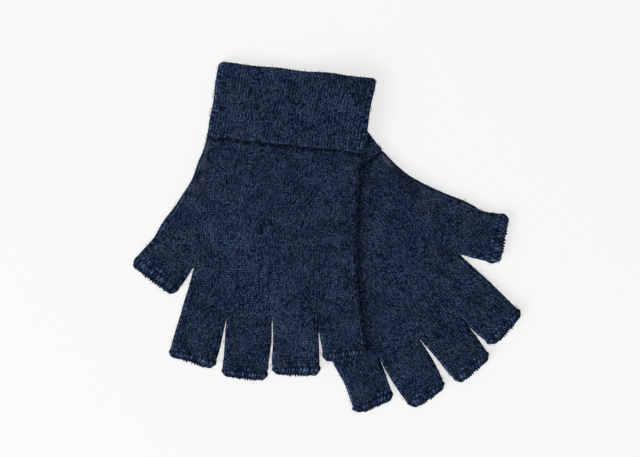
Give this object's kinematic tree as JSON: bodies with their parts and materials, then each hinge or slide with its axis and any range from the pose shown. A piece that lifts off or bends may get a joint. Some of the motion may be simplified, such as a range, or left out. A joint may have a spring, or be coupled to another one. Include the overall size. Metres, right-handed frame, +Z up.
{
  "type": "pair of fingerless knitted gloves",
  "caption": "Pair of navy fingerless knitted gloves with deep ribbed cuffs and open-ended digits, laid flat and crossed, one on top of the other.",
  "frame": {"origin": "on the surface that the pair lies on, under the middle of its bounding box", "axes": "+Z up from the surface, +Y towards the upper glove's cuff, +X towards the lower glove's thumb"},
  "size_m": [0.2072, 0.1866, 0.0112],
  "materials": {
    "plain_knit": "matte heathered plain knit",
    "rib_knit": "matte heathered ribbed knit",
    "band_knit": "matte heathered coarse knit edge"
  },
  "bodies": {
    "right_glove": {"right_hand": "plain_knit", "right_cuff": "rib_knit"},
    "left_glove": {"left_hand": "plain_knit"},
    "left_cuff_body": {"left_cuff": "rib_knit"},
    "left_thumb_body": {"left_thumb": "plain_knit", "left_thumb_band": "band_knit"},
    "left_index_body": {"left_index_finger": "plain_knit", "left_index_band": "band_knit"},
    "left_middle_body": {"left_middle_finger": "plain_knit", "left_middle_band": "band_knit"},
    "left_ring_body": {"left_ring_finger": "plain_knit", "left_ring_band": "band_knit"},
    "left_little_body": {"left_little_finger": "plain_knit", "left_little_band": "band_knit"},
    "right_thumb_body": {"right_thumb": "plain_knit", "right_thumb_band": "band_knit"},
    "right_index_body": {"right_index_finger": "plain_knit", "right_index_band": "band_knit"},
    "right_middle_body": {"right_middle_finger": "plain_knit", "right_middle_band": "band_knit"},
    "right_ring_body": {"right_ring_finger": "plain_knit", "right_ring_band": "band_knit"},
    "right_little_body": {"right_little_finger": "plain_knit", "right_little_band": "band_knit"}
  },
  "joints": [
    {"name": "left_glove_lift", "type": "slide", "parent": "right_glove", "child": "left_glove", "axis": [0, 0, 1], "range_m": [0, 0.06]},
    {"name": "left_cuff_fold", "type": "hinge", "parent": "left_glove", "child": "left_cuff_body", "pos_m": [-0.02351, 0.05115, 0.008], "axis": [0.9936, -0.1132, 0], "range_deg": [0, 55]},
    {"name": "left_thumb_fold", "type": "hinge", "parent": "left_glove", "child": "left_thumb_body", "pos_m": [-0.0824, -0.00562, 0.002], "axis": [-0.8141, 0.5807, 0], "range_deg": [0, 55]},
    {"name": "left_index_fold", "type": "hinge", "parent": "left_glove", "child": "left_index_body", "pos_m": [-0.06581, -0.03964, 0.002], "axis": [-0.9936, 0.1132, 0], "range_deg": [0, 55]},
    {"name": "left_middle_fold", "type": "hinge", "parent": "left_glove", "child": "left_middle_body", "pos_m": [-0.04157, -0.04115, 0.00225], "axis": [-1, 0.0097, 0], "range_deg": [0, 55]},
    {"name": "left_ring_fold", "type": "hinge", "parent": "left_glove", "child": "left_ring_body", "pos_m": [-0.01763, -0.03859, 0.0068], "axis": [-0.9756, -0.2195, 0], "range_deg": [0, 55]},
    {"name": "left_little_fold", "type": "hinge", "parent": "left_glove", "child": "left_little_body", "pos_m": [0.00568, -0.03722, 0.0068], "axis": [-0.9936, 0.1132, 0], "range_deg": [0, 55]},
    {"name": "right_thumb_fold", "type": "hinge", "parent": "right_glove", "child": "right_thumb_body", "pos_m": [0.07517, 0.00522, 0.002], "axis": [-0.3907, -0.9205, 0], "range_deg": [0, 55]},
    {"name": "right_index_fold", "type": "hinge", "parent": "right_glove", "child": "right_index_body", "pos_m": [0.0788, -0.03246, 0.002], "axis": [-0.788, -0.6157, 0], "range_deg": [0, 55]},
    {"name": "right_middle_fold", "type": "hinge", "parent": "right_glove", "child": "right_middle_body", "pos_m": [0.05892, -0.04641, 0.002], "axis": [-0.8476, -0.5307, 0], "range_deg": [0, 55]},
    {"name": "right_ring_fold", "type": "hinge", "parent": "right_glove", "child": "right_ring_body", "pos_m": [0.03717, -0.05674, 0.002], "axis": [-0.9465, -0.3226, 0], "range_deg": [0, 55]},
    {"name": "right_little_fold", "type": "hinge", "parent": "right_glove", "child": "right_little_body", "pos_m": [0.01658, -0.06775, 0.002], "axis": [-0.788, -0.6157, 0], "range_deg": [0, 55]}
  ]
}
